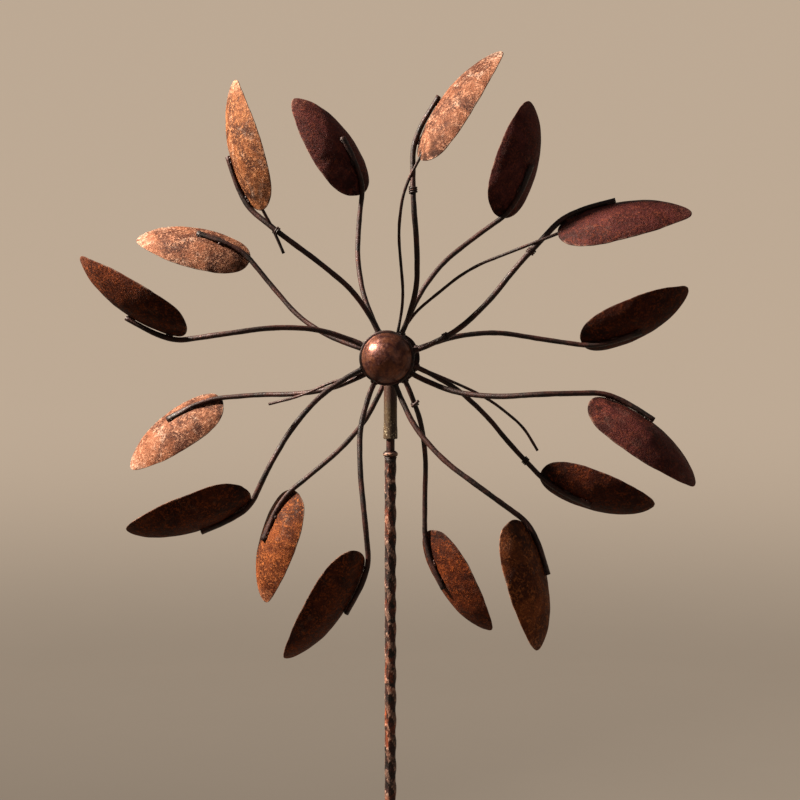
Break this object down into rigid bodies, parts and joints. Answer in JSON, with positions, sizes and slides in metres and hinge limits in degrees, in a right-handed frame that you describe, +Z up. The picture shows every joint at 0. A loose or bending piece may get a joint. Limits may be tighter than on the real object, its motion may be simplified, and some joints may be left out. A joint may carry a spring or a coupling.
{
  "type": "wind spinner",
  "caption": "Garden wind spinner: two counter-facing leaf rotors turn on a horizontal axle in a head that swivels on a hammered pole with a ground spike.",
  "frame": {"origin": "on the pole's axis at ground level, where the ground spike meets its shoulder", "axes": "+Z up along the pole, -Y the way the front rotor faces, +X to the right seen from the front"},
  "size_m": [0.5917, 0.2045, 1.8625],
  "materials": {
    "leaf_rust": "weathered rust, matt",
    "stem_rust": "dark rust, matt",
    "hub_rust": "dark rust, matt",
    "cap_rust": "worn brown, satin",
    "sleeve_patina": "olive-brown patina",
    "pole_rust": "hammered, dark with rust",
    "machined_steel": "dull turned steel",
    "bearing_steel": "ground steel",
    "bronze": "turned bronze"
  },
  "bodies": {
    "pole": {"ground_spike": "pole_rust", "step_fork": "pole_rust", "pole_lower": "pole_rust", "pole_middle": "pole_rust", "pole_upper": "pole_rust", "pole_joint_spigots": "machined_steel", "pole_collar": "pole_rust", "pivot_spigot": "machined_steel", "thrust_ball": "bearing_steel"},
    "head": {"head_sleeve": "sleeve_patina", "sleeve_bushes": "bronze", "thrust_pad": "bearing_steel", "axle_boss": "hub_rust", "axle": "machined_steel", "axle_spacers": "machined_steel", "bearing_inner_rings": "bearing_steel", "axle_nuts": "machined_steel"},
    "front_rotor": {"front_hub": "hub_rust", "front_bearing_outer_rings": "bearing_steel", "front_bearing_balls": "bearing_steel", "front_cap": "cap_rust", "front_arm_1": "stem_rust", "front_arm_2": "stem_rust", "front_arm_3": "stem_rust", "front_arm_4": "stem_rust", "front_arm_5": "stem_rust", "front_arm_6": "stem_rust", "front_arm_7": "stem_rust", "front_arm_8": "stem_rust", "front_leaf_1": "leaf_rust", "front_leaf_2": "leaf_rust", "front_leaf_3": "leaf_rust", "front_leaf_4": "leaf_rust", "front_leaf_5": "leaf_rust", "front_leaf_6": "leaf_rust", "front_leaf_7": "leaf_rust", "front_leaf_8": "leaf_rust", "front_tie_wires": "stem_rust"},
    "rear_rotor": {"rear_hub": "hub_rust", "rear_bearing_outer_rings": "bearing_steel", "rear_bearing_balls": "bearing_steel", "rear_cap": "cap_rust", "rear_arm_1": "stem_rust", "rear_arm_2": "stem_rust", "rear_arm_3": "stem_rust", "rear_arm_4": "stem_rust", "rear_arm_5": "stem_rust", "rear_arm_6": "stem_rust", "rear_arm_7": "stem_rust", "rear_arm_8": "stem_rust", "rear_leaf_1": "leaf_rust", "rear_leaf_2": "leaf_rust", "rear_leaf_3": "leaf_rust", "rear_leaf_4": "leaf_rust", "rear_leaf_5": "leaf_rust", "rear_leaf_6": "leaf_rust", "rear_leaf_7": "leaf_rust", "rear_leaf_8": "leaf_rust", "rear_tie_wires": "stem_rust"}
  },
  "joints": [
    {"name": "head_swivel", "type": "hinge", "parent": "pole", "child": "head", "pos_m": [0, 0, 1.27], "axis": [0, 0, 1], "continuous": true},
    {"name": "front_spin", "type": "hinge", "parent": "head", "child": "front_rotor", "pos_m": [0, 0, 1.35], "axis": [0, 1, 0], "continuous": true},
    {"name": "rear_spin", "type": "hinge", "parent": "head", "child": "rear_rotor", "pos_m": [0, 0, 1.35], "axis": [0, 1, 0], "continuous": true}
  ]
}
